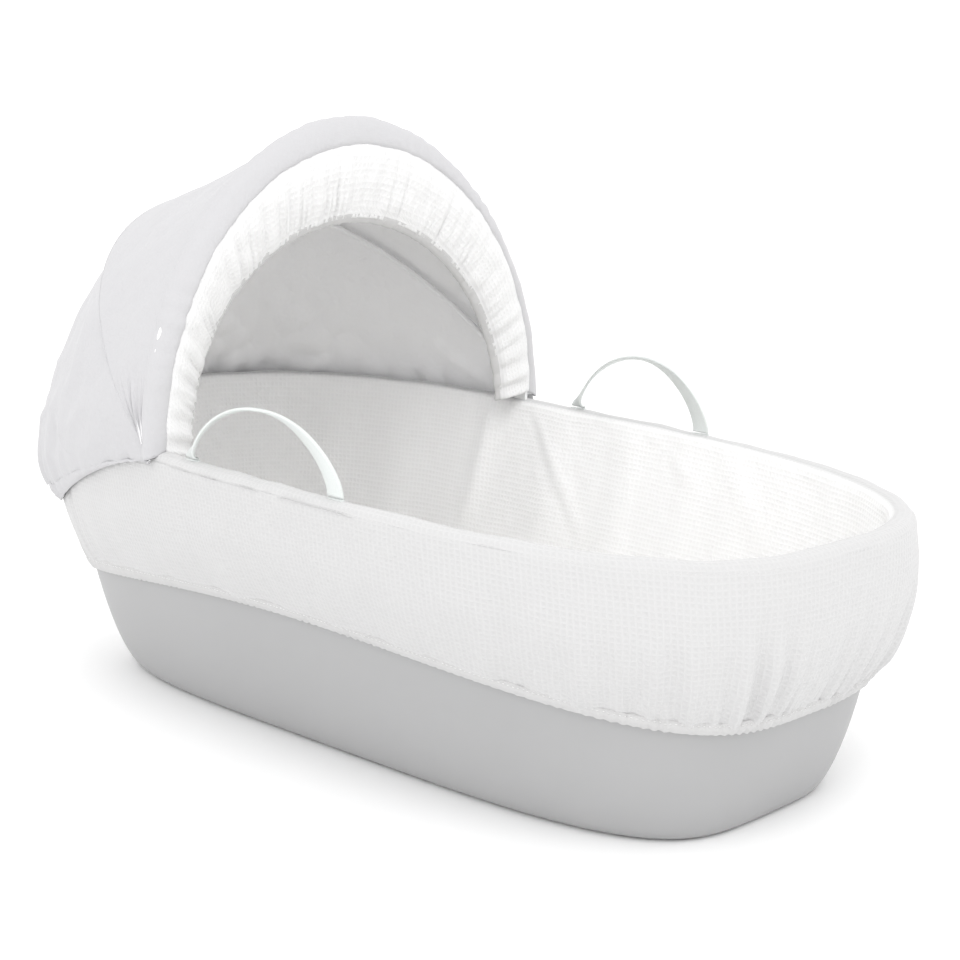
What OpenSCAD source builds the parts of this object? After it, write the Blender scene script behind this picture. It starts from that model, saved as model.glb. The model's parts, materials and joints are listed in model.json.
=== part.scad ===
// Moses basket: moulded tub, fabric dressing, mattress, two carry straps and a folding fabric hood.
// The hood end is at -X and the foot end at +X. The origin is the centre of the flat underside.

/* [Tub] */
// Half length of the tub's wall at the base
base_half_l = 348.3; // [335:0.1:352]
// Half width of the tub's wall at the base
base_half_w = 130.2; // [124:0.1:134]
// How far the wall flares out along the length, from base to rim
flare_l = 61.7; // [55:0.1:65]
// How far the wall flares out across the width, from base to rim
flare_w = 87; // [80:0.1:90]
// Height of the dressed rim at mid length
rim_h = 242.4; // [235:0.1:250]
// How much higher the head end of the rim is than mid length
rim_rise = 19.2; // [12:0.1:22]
// Thickness of the moulded wall
tub_wall = 3; // [2.5:0.1:4]
// Width of the flange outside the wall
flange_w = 10; // [9:0.1:11]

/* [Dressing] */
// Thickness of the quilted lining on the walls
lining_t = 2.4; // [1.5:0.1:3]
// Height of the skirt's hem at mid length
hem_h = 127; // [120:0.5:135]
// How much lower the hem is at the two ends
hem_drop = 40; // [20:1:45]
// How far the skirt stands off the wall at its fullest
skirt_full = 17.5; // [15:0.5:19]

/* [Mattress] */
// Length of the mattress
mattress_l = 700; // [680:5:705]
// Width of the mattress
mattress_w = 270; // [250:5:270]
// Thickness of the mattress
mattress_t = 40; // [30:1:45]

/* [Straps] */
// Distance between the two legs of the left carry strap
left_span = 171; // [150:1:175]
// Distance between the two legs of the right carry strap
right_span = 150; // [150:1:175]
// Place of the middle of the left strap along the length
left_x = 22; // [18:1:40]
// Place of the middle of the right strap along the length
right_x = 40; // [18:1:40]
// Height of a strap's arch with its legs together: every 4 mm of span lowers it by 1 mm
strap_h = 92.5; // [90:0.5:105]
// Width of a strap
strap_w = 17.5; // [16:0.5:20]
// Thickness of a strap
strap_t = 2.4; // [2:0.1:2.6]

/* [Hood] */
// Height of the hood's hinge pins above the underside
hinge_h = 255; // [254:0.5:258]
// Place of the hood's hinge pins along the length
hinge_x = -108; // [-112:1:-104]
// Reach of the front bow from the hinge line
front_reach = 253; // [245:1:260]
// Reach of the rear bow from the hinge line
rear_reach = 276; // [270:1:278]
// How far back the rear bow leans with the hood up, in degrees
rear_lean = 47; // [46:1:50]
// Diameter of the bow rods
rod_d = 4; // [3.5:0.1:4.4]
// Depth of the hood's hem below the rim at the head end
hood_hem_drop = 85; // [70:1:90]

/* [Hidden] */

// Colours
grey_shell = [0.77, 0.77, 0.77];
waffle_white = [0.97, 0.96, 0.95];
cotton_white = [0.98, 0.97, 0.98];
strap_white = [0.94, 0.96, 0.95];
foam_cream = [0.95, 0.93, 0.85];
steel = [0.7, 0.71, 0.73];

// Smoothness and gaps
ring_count = 72;
arc_count = 40;
arc_sides = 8;
gap = 0.4;
round_fn = 48;

// Rim and wall
rim_half_l = 420;
rim_curve = 4.3;
flare_h = rim_h + 18.7;
flare_power = 0.618;
base_square = 4.04;
rim_square = 2.805;
roll_h = 5.6;
flange_t = 4;
lip_h = 9;
lip_t = 3;

// Mattress and floor panel
floor_panel_t = 1.5;
mattress_square = 3.2;
cover_t = 1.2;
mattress_edge = 4;
mattress_z = tub_wall + floor_panel_t + 2 * gap;

// Straps: a strap's hinge line runs along the rim through its two legs, closer to the middle towards the foot
leg_y_mid = 214.3;
leg_y_slope = 0.021;
strap_yaw = atan(leg_y_slope);
strap_lift = 2.8;
arch_power = 1.35;
// Twist of the tape along its arch, in degrees: the arch angle, then the twist there
strap_twist = [[0, 90], [5, 65], [12, 44], [30, 31], [60, 7], [90, -15], [108, -38], [125, -58], [155, -77],
    [180, -90]];
toggle_l = 28;
toggle_w = 3.2;
toggle_h = 4;

// Hood hinge stack, measured from the middle of the basket outwards
plate_y = 210.4;
plate_t = 3.4;
peg_y = 215.5;
rear_rod_y = 217.2;
front_rod_y = 223.8;
end_t = 6;
pin_r = 3;
bore_r = 3.06;
eye_r = 6;
arm_h = 16;
arm_w = 8;
socket_floor = 9;
pin_head_t = 1.8;
front_square = 1.92;
rear_square = 2.03;
front_rod_square = 1.82;
rear_rod_square = 1.92;
canopy_t = 1;
canopy_half_w = 229.5;
front_rise = 260.5;
rear_rise = 286;
arc_end = 4;
mouth_end = 3;
seat_start = 256;
hem_skip = 5;
hem_base = 8;
hem_reach = 210;
hem_off = 17;
puff_l = 69;
puff_w = 22;
puff_drop = 30;
puff_square = 2.9;
bow_pull = 41.5;
bow_pull_lean = rear_lean + 110;

// Height of the dressed rim at place x
function rim_z(x) = rim_h - rim_rise * x / rim_half_l - rim_curve * pow(x / rim_half_l, 2);

// Height of the moulded rim at place x
function flange_z(x) = rim_z(x) - roll_h;

// Height of the skirt's hem at place x
function hem_z(x) = hem_h - hem_drop * pow(x / rim_half_l, 2);

// Share of the flare at height z
function flare(z) = pow(max(z, 0) / flare_h, flare_power);

// A point of a squared oval, with half sizes a and b and squareness n, at angle t
function oval(a, b, n, t) =
    let(k = pow(pow(abs(cos(t)), n) + pow(abs(sin(t)), n), -1 / n))
    [a * cos(t) * k, b * sin(t) * k];

// The two straps: side is -1 for the left one and 1 for the right one
function strap_span(side) = side < 0 ? left_span : right_span;
function strap_x(side) = side < 0 ? left_x : right_x;
function strap_legs(side) =
    [for (e = [-1, 1]) let(x = strap_x(side) + e * strap_span(side) / 2) [x, leg_y_mid - leg_y_slope * x]];
function strap_y(side) = leg_y_mid - leg_y_slope * strap_x(side);
function strap_tilt(side) =
    let(legs = strap_legs(side))
    atan2(rim_z(legs[0][0]) - rim_z(legs[1][0]), strap_span(side));
function strap_z(side) = let(legs = strap_legs(side)) (rim_z(legs[0][0]) + rim_z(legs[1][0])) / 2 + strap_lift;

// A point of the tub's outer wall at angle t and height z, moved out by off
function wall_pt(t, z, off) = oval(base_half_l + flare_l * flare(z) + off, base_half_w + flare_w * flare(z) + off,
    base_square + (rim_square - base_square) * z / flare_h, t);

// Where the rim is along the length at angle t
function rim_x(t) = oval(rim_half_l, 227, rim_square, t)[0];

// A ring round the wall: off is out from the wall, share is the height as a share of the rim, drop is down from there
function wall_ring(off, share, drop) =
    [for (i = [0:ring_count - 1])
        let(t = 360 * i / ring_count, z = flange_z(rim_x(t)) * share - drop, p = wall_pt(t, z, off))
        [p[0], p[1], z]];

// A flat ring round the wall at height z
function flat_ring(off, z) =
    [for (i = [0:ring_count - 1]) let(p = wall_pt(360 * i / ring_count, z, off)) [p[0], p[1], z]];

// How full the skirt is at place x: fuller at the foot end than at the head end
function fullness(x) = 0.93 + 0.19 * x / rim_half_l;

// A ring between the rim (share 0) and the hem (share 1): off is out from the wall and thick is how far in from there
function skirt_ring(off, share, thick) =
    [for (i = [0:ring_count - 1])
        let(t = 360 * i / ring_count,
            x = rim_x(t),
            z = rim_z(x) * (1 - share) + hem_z(x) * share,
            p = wall_pt(t, z, off * fullness(x) - thick))
        [p[0], p[1], z]];

// A flat squared oval ring for the mattress and floor panel
function oval_ring(a, b, n, z) =
    [for (i = [0:ring_count - 1]) let(p = oval(a, b, n, 360 * i / ring_count)) [p[0], p[1], z]];

// Joins rings of points into a solid: capped at both ends, or closed on itself
module loft(rings, closed) {
    n = len(rings[0]);
    m = len(rings);
    last = closed ? m : m - 1;
    sides = [for (k = [0:last - 1]) for (i = [0:n - 1])
        let(a = k * n + i,
            b = k * n + (i + 1) % n,
            c = ((k + 1) % m) * n + (i + 1) % n,
            d = ((k + 1) % m) * n + i)
        each [[a, c, b], [a, d, c]]];
    caps = closed ? [] : [[for (i = [0:n - 1]) i], [for (i = [n - 1:-1:0]) (m - 1) * n + i]];
    polyhedron(points = [for (r = rings) each r], faces = concat(sides, caps), convexity = 10);
}

// Draws a child on the right side, and its mirror image on the left
module on_side(side) {
    if (side > 0) {
        children();
    } else {
        mirror([0, 1, 0]) children();
    }
}

// ---- Tub ----

module tub_shell() {
    heights = [0, 1.5, 5, 12, 25, 45, 75, 115, 160, 200];
    outer = [for (h = heights) wall_ring(0, h / flange_z(0), 0)];
    flange = [wall_ring(0, 1, flange_t), wall_ring(flange_w - lip_t, 1, flange_t),
        wall_ring(flange_w - lip_t, 1, lip_h), wall_ring(flange_w, 1, lip_h),
        wall_ring(flange_w, 1, 2), wall_ring(flange_w - 2, 1, 0), wall_ring(1 - tub_wall, 1, 0),
        wall_ring(-tub_wall, 1, 1)];
    inner = [for (k = [len(heights) - 1:-1:3]) wall_ring(-tub_wall, heights[k] / flange_z(0), 0)];
    floor_rings = [flat_ring(-tub_wall - 1, 6), flat_ring(-tub_wall - 3, tub_wall)];
    color(grey_shell)
    difference() {
        loft(concat(outer, flange, inner, floor_rings), false);
        for (side = [-1, 1]) {
            for (leg = strap_legs(side)) {
                translate([leg[0] - strap_w / 2 - 1, side * leg[1] - strap_t / 2 - gap, flange_z(leg[0]) - 15])
                    cube([strap_w + 2, strap_t + 2 * gap, 30]);
            }
            for (x = [-10, 10]) {
                translate([hinge_x + x, side * peg_y, flange_z(hinge_x) - 15])
                    cylinder(h = 30, r = 2.6, $fn = round_fn);
            }
        }
    }
}

// ---- Dressing ----

module dressing_floor() {
    color(waffle_white) translate([0, 0, tub_wall + gap]) linear_extrude(floor_panel_t)
        polygon([for (i = [0:ring_count - 1]) oval(base_half_l - 6, base_half_w - 4, 3.6, 360 * i / ring_count)]);
}

module dressing_lining() {
    shares = [0.045, 0.12, 0.3, 0.55, 0.8, 0.975];
    out_off = -tub_wall - gap;
    outer = [for (s = shares) wall_ring(out_off, s, 0)];
    inner = [for (k = [len(shares) - 1:-1:0]) wall_ring(out_off - lining_t, shares[k], 0)];
    color(waffle_white) loft(concat(inner, outer), true);
}

module rim_cuts() {
    for (side = [-1, 1]) {
        for (leg = strap_legs(side)) {
            translate([leg[0] - strap_w / 2 - 1.5, side * leg[1] - 2.2, rim_z(leg[0]) - 12])
                cube([strap_w + 3, 4.4, 24]);
        }
        translate([hinge_x - 17, side * 219.5 - 12.5, rim_z(hinge_x) - 12]) cube([34, 25, 24]);
    }
}

// The padded roll that lies over the flange, from the lining's top edge to the skirt's top edge
module dressing_rim_roll() {
    rings = [wall_ring(-tub_wall - gap, 1, 5), wall_ring(-tub_wall - gap, 1, -gap),
        wall_ring(flange_w + gap, 1, -gap),
        wall_ring(flange_w + gap, 1, lip_h), wall_ring(flange_w + 3, 1, lip_h), wall_ring(flange_w + 3.4, 1, 3),
        wall_ring(flange_w + 2.6, 1, -2), wall_ring(flange_w - 0.5, 1, -roll_h + 0.8),
        wall_ring(flange_w - 4, 1, -roll_h),
        wall_ring(0, 1, -roll_h + 0.4), wall_ring(-tub_wall - 1.6, 1, -2.6), wall_ring(-tub_wall - gap - lining_t, 1, 1),
        wall_ring(-tub_wall - gap - lining_t, 1, 5)];
    color(waffle_white)
    difference() {
        loft([for (k = [len(rings) - 1:-1:0]) rings[k]], true);
        rim_cuts();
    }
}

module dressing_skirt() {
    shares = [0.14, 0.3, 0.5, 0.7, 0.85, 0.93];
    offs = [flange_w + 4.8, skirt_full - 1, skirt_full, skirt_full - 3, skirt_full - 8, skirt_full - 12.6];
    outer = [for (k = [0:5]) skirt_ring(offs[k], shares[k], 0)];
    inner = [for (k = [5:-1:0]) skirt_ring(offs[k], shares[k], 1.6)];
    color(waffle_white) loft(concat(outer, inner), true);
}

module skirt_hem_elastic() {
    rings = [skirt_ring(3.6, 1, 2.2), skirt_ring(3.6, 1, 0), skirt_ring(4.9, 0.935, 0), skirt_ring(4.9, 0.935, 2.2)];
    color(waffle_white) loft([for (k = [3:-1:0]) rings[k]], true);
}

// ---- Mattress ----

module mattress_core() {
    inset = cover_t + gap;
    trim = inset + mattress_edge;
    color(foam_cream) translate([0, 0, mattress_z + inset]) linear_extrude(mattress_t - 2 * inset)
        polygon([for (i = [0:ring_count - 1])
            oval(mattress_l / 2 - trim, mattress_w / 2 - trim, mattress_square, 360 * i / ring_count)]);
}

module mattress_cover() {
    a = mattress_l / 2;
    b = mattress_w / 2;
    edge = mattress_edge;
    color(cotton_white)
    difference() {
        loft([oval_ring(a - edge, b - edge, mattress_square, mattress_z),
            oval_ring(a, b, mattress_square, mattress_z + 2 * edge),
            oval_ring(a, b, mattress_square, mattress_z + mattress_t - 2 * edge),
            oval_ring(a - edge, b - edge, mattress_square, mattress_z + mattress_t)], false);
        translate([0, 0, mattress_z + cover_t]) linear_extrude(mattress_t - 2 * cover_t)
            polygon([for (i = [0:ring_count - 1])
                oval(a - cover_t - edge, b - cover_t - edge, mattress_square, 360 * i / ring_count)]);
    }
}

// ---- Carry straps ----

// Centre line of a strap's arch: t runs from 0 at one leg to 180 at the other
function arch_pt(span, t) = [-span / 2 * cos(t), 0, (strap_h - span / 4) * pow(sin(t), arch_power)];

// Four corners of the strap's section at arch angle t
function strap_section(span, t) =
    let(p = arch_pt(span, t),
        q = arch_pt(span, min(t + 1, 180)) - arch_pt(span, max(t - 1, 0)),
        along = q / norm(q),
        twist = lookup(t, strap_twist),
        w = cos(twist) * [0, 1, 0] + sin(twist) * [-along[2], 0, along[0]],
        n = cross(along, w),
        hw = strap_w / 2,
        ht = strap_t / 2)
    [p + w * hw + n * ht, p - w * hw + n * ht, p - w * hw - n * ht, p + w * hw - n * ht];

module strap_place(side) {
    translate([strap_x(side), side * strap_y(side), strap_z(side)])
        rotate([0, strap_tilt(side), -side * strap_yaw])
            children();
}

module carry_strap(side) {
    span = strap_span(side);
    stub_h = 4.5;
    color(strap_white)
    strap_place(side)
    union() {
        loft([for (t = [2:4:178]) strap_section(span, t)], false);
        for (x = [-1, 1]) {
            translate([x * span / 2 - strap_w / 2, 0, 0]) rotate([0, 90, 0])
                cylinder(h = strap_w, r = strap_t / 2 + 0.3, $fn = round_fn);
            translate([x * span / 2 - strap_w / 2, -strap_t / 2, 0]) cube([strap_w, strap_t, stub_h]);
        }
    }
}

// The end of the strap below its bend: a tab through the flange's slot and a toggle under the flange
module strap_anchors(side) {
    color(strap_white)
    for (leg = strap_legs(side)) {
        x = leg[0];
        y = side * leg[1];
        top = strap_z(side) - (x - strap_x(side)) * tan(strap_tilt(side)) - strap_t / 2 - 1.2;
        under = flange_z(x) - flange_t - 1;
        union() {
            translate([x - strap_w / 2, y - strap_t / 2, under - toggle_h])
                cube([strap_w, strap_t, top - under + toggle_h]);
            translate([x - toggle_l / 2, y - toggle_w / 2, under - toggle_h])
                cube([toggle_l, toggle_w, toggle_h]);
        }
    }
}

// ---- Hood hinges ----

module hood_bracket(side) {
    foot_z = flange_z(hinge_x) + 1.2;
    color(strap_white)
    on_side(side)
    difference() {
        union() {
            translate([hinge_x - 15, plate_y - 0.4, foot_z]) cube([30, 11, 2.4]);
            translate([hinge_x - 7, plate_y, foot_z]) cube([14, plate_t, hinge_h - foot_z]);
            translate([hinge_x, plate_y, hinge_h]) rotate([-90, 0, 0]) cylinder(h = plate_t, r = 7, $fn = round_fn);
            for (x = [-10, 10]) {
                translate([hinge_x + x, peg_y, foot_z - 6.5]) cylinder(h = 7, r = 2.3, $fn = round_fn);
            }
        }
        translate([hinge_x, plate_y - 1, hinge_h]) rotate([-90, 0, 0])
            cylinder(h = plate_t + 2, r = bore_r, $fn = round_fn);
    }
}

module hinge_pin(side) {
    length = front_rod_y + end_t / 2 + gap - plate_y + 1.2;
    color(steel)
    on_side(side)
    union() {
        translate([hinge_x, plate_y - 1.2, hinge_h]) rotate([-90, 0, 0])
            cylinder(h = length, r = pin_r, $fn = round_fn);
        translate([hinge_x, plate_y - 1.2 + length, hinge_h]) rotate([-90, 0, 0])
            cylinder(h = pin_head_t, r = 4.6, $fn = round_fn);
        translate([hinge_x, plate_y - 2.2, hinge_h]) rotate([-90, 0, 0]) cylinder(h = 1.8, r = 4.2, $fn = round_fn);
    }
}

// An end fitting stands straight up from the hinge, and bow_place leans it with its bow
module bow_end(side, y) {
    color(strap_white)
    on_side(side)
    difference() {
        union() {
            rotate([-90, 0, 0]) translate([0, 0, y - end_t / 2]) cylinder(h = end_t, r = eye_r, $fn = round_fn);
            translate([-arm_w / 2, y - end_t / 2, 0]) cube([arm_w, end_t, arm_h]);
        }
        rotate([-90, 0, 0]) translate([0, 0, y - end_t / 2 - 1]) cylinder(h = end_t + 2, r = bore_r, $fn = round_fn);
        translate([0, y, socket_floor]) cylinder(h = arm_h, r = rod_d / 2 + 0.05, $fn = round_fn);
    }
}

module bow_place(lean) {
    translate([hinge_x, 0, hinge_h]) rotate([0, -lean, 0]) children();
}

// Centre line of a bow above its straight legs, at arc angle t
function bow_pt(half_w, reach, n, t) =
    let(k = pow(pow(abs(cos(t)), n) + pow(abs(sin(t)), n), -1 / n))
    [0, -half_w * cos(t) * k, arm_h + 2 + (reach - arm_h - 2) * sin(t) * k];

// A round ring of the rod about point p, square to the direction along
function rod_ring(p, along) =
    let(across = cross(along, [1, 0, 0]))
    [for (i = [0:arc_sides - 1]) let(a = 360 * i / arc_sides) p + rod_d / 2 * (cos(a) * [1, 0, 0] + sin(a) * across)];

// The rod's ring on the bow at arc angle t
function bow_ring(half_w, reach, n, t) =
    let(q = bow_pt(half_w, reach, n, min(t + 1, 180)) - bow_pt(half_w, reach, n, max(t - 1, 0)),
        along = t <= 0 ? [0, 0, 1] : t >= 180 ? [0, 0, -1] : q / norm(q))
    rod_ring(bow_pt(half_w, reach, n, t), along);

module bow_rod(half_w, reach, n) {
    foot = socket_floor + 0.5;
    arch = [for (k = [0:arc_count]) bow_ring(half_w, reach, n, 180 * k / arc_count)];
    color(steel)
    loft(concat([rod_ring([0, -half_w, foot], [0, 0, 1])], arch, [rod_ring([0, half_w, foot], [0, 0, -1])]), false);
}

// ---- Hood covers ----

// A point on a hood arch that leans back by lean degrees, at arc angle t
function hood_pt(lean, half_w, reach, n, t) =
    let(k = pow(pow(abs(cos(t)), n) + pow(abs(sin(t)), n), -1 / n), r = reach * sin(t) * k)
    [hinge_x - r * sin(lean), -half_w * cos(t) * k, hinge_h - 5 + r * cos(lean)];

// One pass over an arch, with grow as extra size and share from the front arch to the rear arch
function front_row(share, grow) =
    [for (i = [0:arc_count])
        let(t = arc_end + (180 - 2 * arc_end) * i / arc_count,
            a = hood_pt(0, canopy_half_w + grow, front_rise + grow, front_square, t),
            b = hood_pt(rear_lean, canopy_half_w + grow, rear_rise + grow, rear_square, t))
        a * (1 - share) + b * share - [0, 0, 3 * sin(180 * share) * sin(t)]];

// A cubic curve through a and d, pulled towards b and c
function cubic(a, b, c, d, s) =
    a * pow(1 - s, 3) + 3 * b * pow(1 - s, 2) * s + 3 * c * (1 - s) * s * s + d * pow(s, 3);

// One pass over the rear panel, from the rear bow (share 0) to the hem (share 1), leaving skip points out at each end
function rear_row(share, grow, skip) =
    [for (i = [skip:arc_count - skip])
        let(t = arc_end + (180 - 2 * arc_end) * i / arc_count,
            a = hood_pt(rear_lean, canopy_half_w + grow, rear_rise + grow, rear_square, t),
            phi = seat_start - 2 * (seat_start - 180) * i / arc_count,
            x = oval(rim_half_l + 3, 230, rim_square, phi)[0],
            end = pow(max(0, min(1, (hinge_x - x) / 300)), 0.8),
            low = pow(max(0, min(1, (hinge_x - x) / hem_reach)), 1.4),
            full = oval(rim_half_l + 5 + puff_l * end + grow, 232 + puff_w * end + grow, puff_square, phi),
            b = a + bow_pull * sin(t) * [-sin(bow_pull_lean), 0, cos(bow_pull_lean)],
            c = [full[0], full[1], rim_z(x) - puff_drop * end],
            hem_height = rim_z(x) - hem_base - (hood_hem_drop - hem_base) * low,
            hem = wall_pt(phi, hem_height, hem_off + grow))
        cubic(a, b, c, [hem[0], hem[1], hem_height], share)];

// A thin sheet between an outer and an inner set of rows
module sheet(outer, inner) {
    n = len(outer[0]);
    m = len(outer);
    o = n * m;
    function at(k, i) = k * n + i;
    skin = [for (k = [0:m - 2]) for (i = [0:n - 2])
        each [[at(k, i), at(k, i + 1), at(k + 1, i + 1)], [at(k, i), at(k + 1, i + 1), at(k + 1, i)],
            [o + at(k, i), o + at(k + 1, i + 1), o + at(k, i + 1)],
            [o + at(k, i), o + at(k + 1, i), o + at(k + 1, i + 1)]]];
    ends = [for (i = [0:n - 2])
        each [[at(0, i), o + at(0, i), o + at(0, i + 1)], [at(0, i), o + at(0, i + 1), at(0, i + 1)],
            [at(m - 1, i), o + at(m - 1, i + 1), o + at(m - 1, i)],
            [at(m - 1, i), at(m - 1, i + 1), o + at(m - 1, i + 1)]]];
    edges = [for (k = [0:m - 2])
        each [[at(k, 0), at(k + 1, 0), o + at(k + 1, 0)], [at(k, 0), o + at(k + 1, 0), o + at(k, 0)],
            [at(k, n - 1), o + at(k + 1, n - 1), at(k + 1, n - 1)],
            [at(k, n - 1), o + at(k, n - 1), o + at(k + 1, n - 1)]]];
    polyhedron(points = concat([for (r = outer) each r], [for (r = inner) each r]), faces = concat(skin, ends, edges),
        convexity = 10);
}

module hood_front_panel() {
    shares = [0.1, 0.3, 0.5, 0.7, 0.85, 0.97];
    color(cotton_white) sheet([for (s = shares) front_row(s, 0)], [for (s = shares) front_row(s, -canopy_t)]);
}

module hood_rear_panel() {
    shares = [0.01, 0.12, 0.25, 0.4, 0.55, 0.7, 0.82, 0.93];
    color(cotton_white) sheet([for (s = shares) rear_row(s, 0, 0)], [for (s = shares) rear_row(s, -canopy_t, 0)]);
}

module hood_hem_elastic() {
    shares = [0.94, 0.97, 1];
    color(cotton_white)
    sheet([for (s = shares) rear_row(s, 0.8, hem_skip)], [for (s = shares) rear_row(s, -canopy_t - 0.8, hem_skip)]);
}

// A row of the front band and valance: an arch of its own size at its own place along the length
function mouth_row(x, z, half_w, rise, n) =
    [for (i = [0:arc_count])
        let(t = mouth_end + (180 - 2 * mouth_end) * i / arc_count,
            k = pow(pow(abs(cos(t)), n) + pow(abs(sin(t)), n), -1 / n))
        [x, -half_w * cos(t) * k, z + rise * sin(t) * k]];

module front_band() {
    outer = [mouth_row(-114, 248, 231, 267, 1.92), mouth_row(-106, 248, 231.5, 267.5, 1.92),
        mouth_row(-97.5, 250, 225, 256, 1.94), mouth_row(-95, 252, 217, 243, 1.98)];
    inner = [mouth_row(-114, 248, 229.8, 265.8, 1.92), mouth_row(-106.5, 248, 230.2, 266.2, 1.92),
        mouth_row(-98.7, 250, 224.3, 255.2, 1.94), mouth_row(-96.4, 252, 216.8, 242.6, 1.98)];
    color(cotton_white) sheet(outer, inner);
}

module valance() {
    outer = [mouth_row(-96, 252, 215.5, 241, 1.98), mouth_row(-98, 248, 206, 223, 1.97),
        mouth_row(-106, 242, 193, 204, 1.96)];
    inner = [mouth_row(-97.4, 252, 215.5, 241, 1.98), mouth_row(-99.4, 248, 206, 223, 1.97),
        mouth_row(-107.2, 242, 193, 204, 1.96)];
    color(waffle_white) sheet(outer, inner);
}

module valance_elastic() {
    outer = [mouth_row(-106.5, 241, 192, 203, 1.96), mouth_row(-113.5, 237, 185, 190, 1.96)];
    inner = [mouth_row(-109, 241, 192, 203, 1.96), mouth_row(-116, 237, 185, 190, 1.96)];
    color(waffle_white) sheet(outer, inner);
}

tub_shell();
dressing_floor();
dressing_lining();
dressing_rim_roll();
dressing_skirt();
skirt_hem_elastic();
mattress_core();
mattress_cover();
strap_anchors(-1);  // strap_anchors_left
strap_anchors(1);  // strap_anchors_right
carry_strap(-1);  // carry_strap_left
carry_strap(1);  // carry_strap_right
hood_bracket(-1);  // hood_bracket_left
hood_bracket(1);  // hood_bracket_right
hinge_pin(-1);  // hinge_pin_left
hinge_pin(1);  // hinge_pin_right
bow_place(0) bow_rod(front_rod_y, front_reach, front_rod_square);  // front_bow
bow_place(0) bow_end(-1, front_rod_y);  // front_bow_end_left
bow_place(0) bow_end(1, front_rod_y);  // front_bow_end_right
bow_place(rear_lean) bow_rod(rear_rod_y, rear_reach, rear_rod_square);  // rear_bow
bow_place(rear_lean) bow_end(-1, rear_rod_y);  // rear_bow_end_left
bow_place(rear_lean) bow_end(1, rear_rod_y);  // rear_bow_end_right
hood_rear_panel();
hood_hem_elastic();
hood_front_panel();
front_band();
valance();
valance_elastic();
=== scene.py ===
"""Looks of the moses basket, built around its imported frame.

Metres, +Z up. The hood end is at -X and the foot end at +X, and the near side of the camera's view is -Y.
"""

import json
import math

import bmesh
import bpy
import numpy as np
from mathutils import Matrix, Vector
from mathutils.bvhtree import BVHTree


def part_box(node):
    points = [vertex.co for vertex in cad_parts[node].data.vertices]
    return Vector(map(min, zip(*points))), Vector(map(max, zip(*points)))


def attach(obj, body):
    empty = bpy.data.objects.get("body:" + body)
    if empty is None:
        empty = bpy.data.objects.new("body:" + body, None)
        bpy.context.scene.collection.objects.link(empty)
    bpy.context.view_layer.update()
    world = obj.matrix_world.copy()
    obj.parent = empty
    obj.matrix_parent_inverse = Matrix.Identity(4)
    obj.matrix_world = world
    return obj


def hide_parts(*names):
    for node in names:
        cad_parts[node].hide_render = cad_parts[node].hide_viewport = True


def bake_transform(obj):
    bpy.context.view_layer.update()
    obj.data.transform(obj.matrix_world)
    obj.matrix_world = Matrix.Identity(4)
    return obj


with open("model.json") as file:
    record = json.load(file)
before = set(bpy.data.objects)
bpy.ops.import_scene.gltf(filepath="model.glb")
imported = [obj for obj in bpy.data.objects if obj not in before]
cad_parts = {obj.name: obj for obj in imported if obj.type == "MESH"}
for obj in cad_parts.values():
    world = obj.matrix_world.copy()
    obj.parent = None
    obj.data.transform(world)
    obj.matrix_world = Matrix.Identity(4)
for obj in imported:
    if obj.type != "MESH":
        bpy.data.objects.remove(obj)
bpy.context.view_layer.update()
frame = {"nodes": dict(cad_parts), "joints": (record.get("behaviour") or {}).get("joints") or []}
joints = {joint["name"]: joint for joint in frame["joints"]}
hinge = np.array(joints["hood_rear_fold"]["pos_m"])

# Tub and rim: half sizes of the wall at the base, how far it flares, and the rim's heights
BASE_HALF_L = 0.3483
BASE_HALF_W = 0.1302
BASE_SQUARE = 4.04
FLARE_L = 0.0617
FLARE_W = 0.087
FLARE_H = 0.2611
FLARE_POWER = 0.618
RIM_HALF_L = 0.42
RIM_HALF_W = 0.227
RIM_SQUARE = 2.805
RIM_H = 0.2424
RIM_RISE = 0.0192
RIM_CURVE = 0.0043
ROLL_H = 0.0056
FLANGE_W = 0.010
TUB_WALL = 0.003

# Skirt: the hem's height at mid length and how much lower it is at the ends
HEM_H = 0.127
HEM_DROP = 0.040
LINING_OFF = -0.0058

# Straps
STRAP_SPAN = dict(left=0.171, right=0.150)
STRAP_H = 0.0925
STRAP_W = 0.0175
STRAP_T = 0.0024
ARCH_POWER = 1.35
TWIST_AT = [0, 5, 12, 30, 60, 90, 108, 125, 155, 180]
TWIST = [90, 65, 44, 31, 7, -15, -38, -58, -77, -90]

# Hood: arches of the covers and of the bow rods
REAR_LEAN = math.radians(47)
ARCH_BASE = 0.005
COVER_HALF_W = 0.2295
FRONT_RISE = 0.2605
REAR_RISE = 0.286
FRONT_SQUARE = 1.92
REAR_SQUARE = 2.03
ROD_R = 0.002
FRONT_ROD = dict(half_w=0.2238, reach=0.253, square=1.82, lean=0.0)
REAR_ROD = dict(half_w=0.2172, reach=0.276, square=1.92, lean=REAR_LEAN)
SOCKET_FLOOR = 0.0095
LEG_H = 0.018
FRONT_SAG = 0.003
# The rear cover: its full part at the head end, its pull at the bow, and its hem under the rim
REAR_FULL_L = 0.069
REAR_FULL_W = 0.022
REAR_FULL_DROP = 0.030
REAR_FULL_SQUARE = 2.9
REAR_FULL_REACH = 0.300
BOW_PULL = 0.0415
BOW_PULL_LEAN = REAR_LEAN + math.radians(110)
HEM_TURN_START = 256
HEM_TURN = 152
HEM_END = 4
HEM_REACH = 0.210
HEM_BASE = 0.008
HOOD_HEM_DROP = 0.085
HOOD_HEM_OFF = 0.017
HOOD_HEM_START = 0.93

# The mouth of the hood: where its pieces meet, and how they draw together and hang at their ends
MOUTH_X = -0.107
MOUTH_PINCH = 0.4
MOUTH_DROP = 0.0065
VALANCE_SKEW = 0.005

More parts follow.
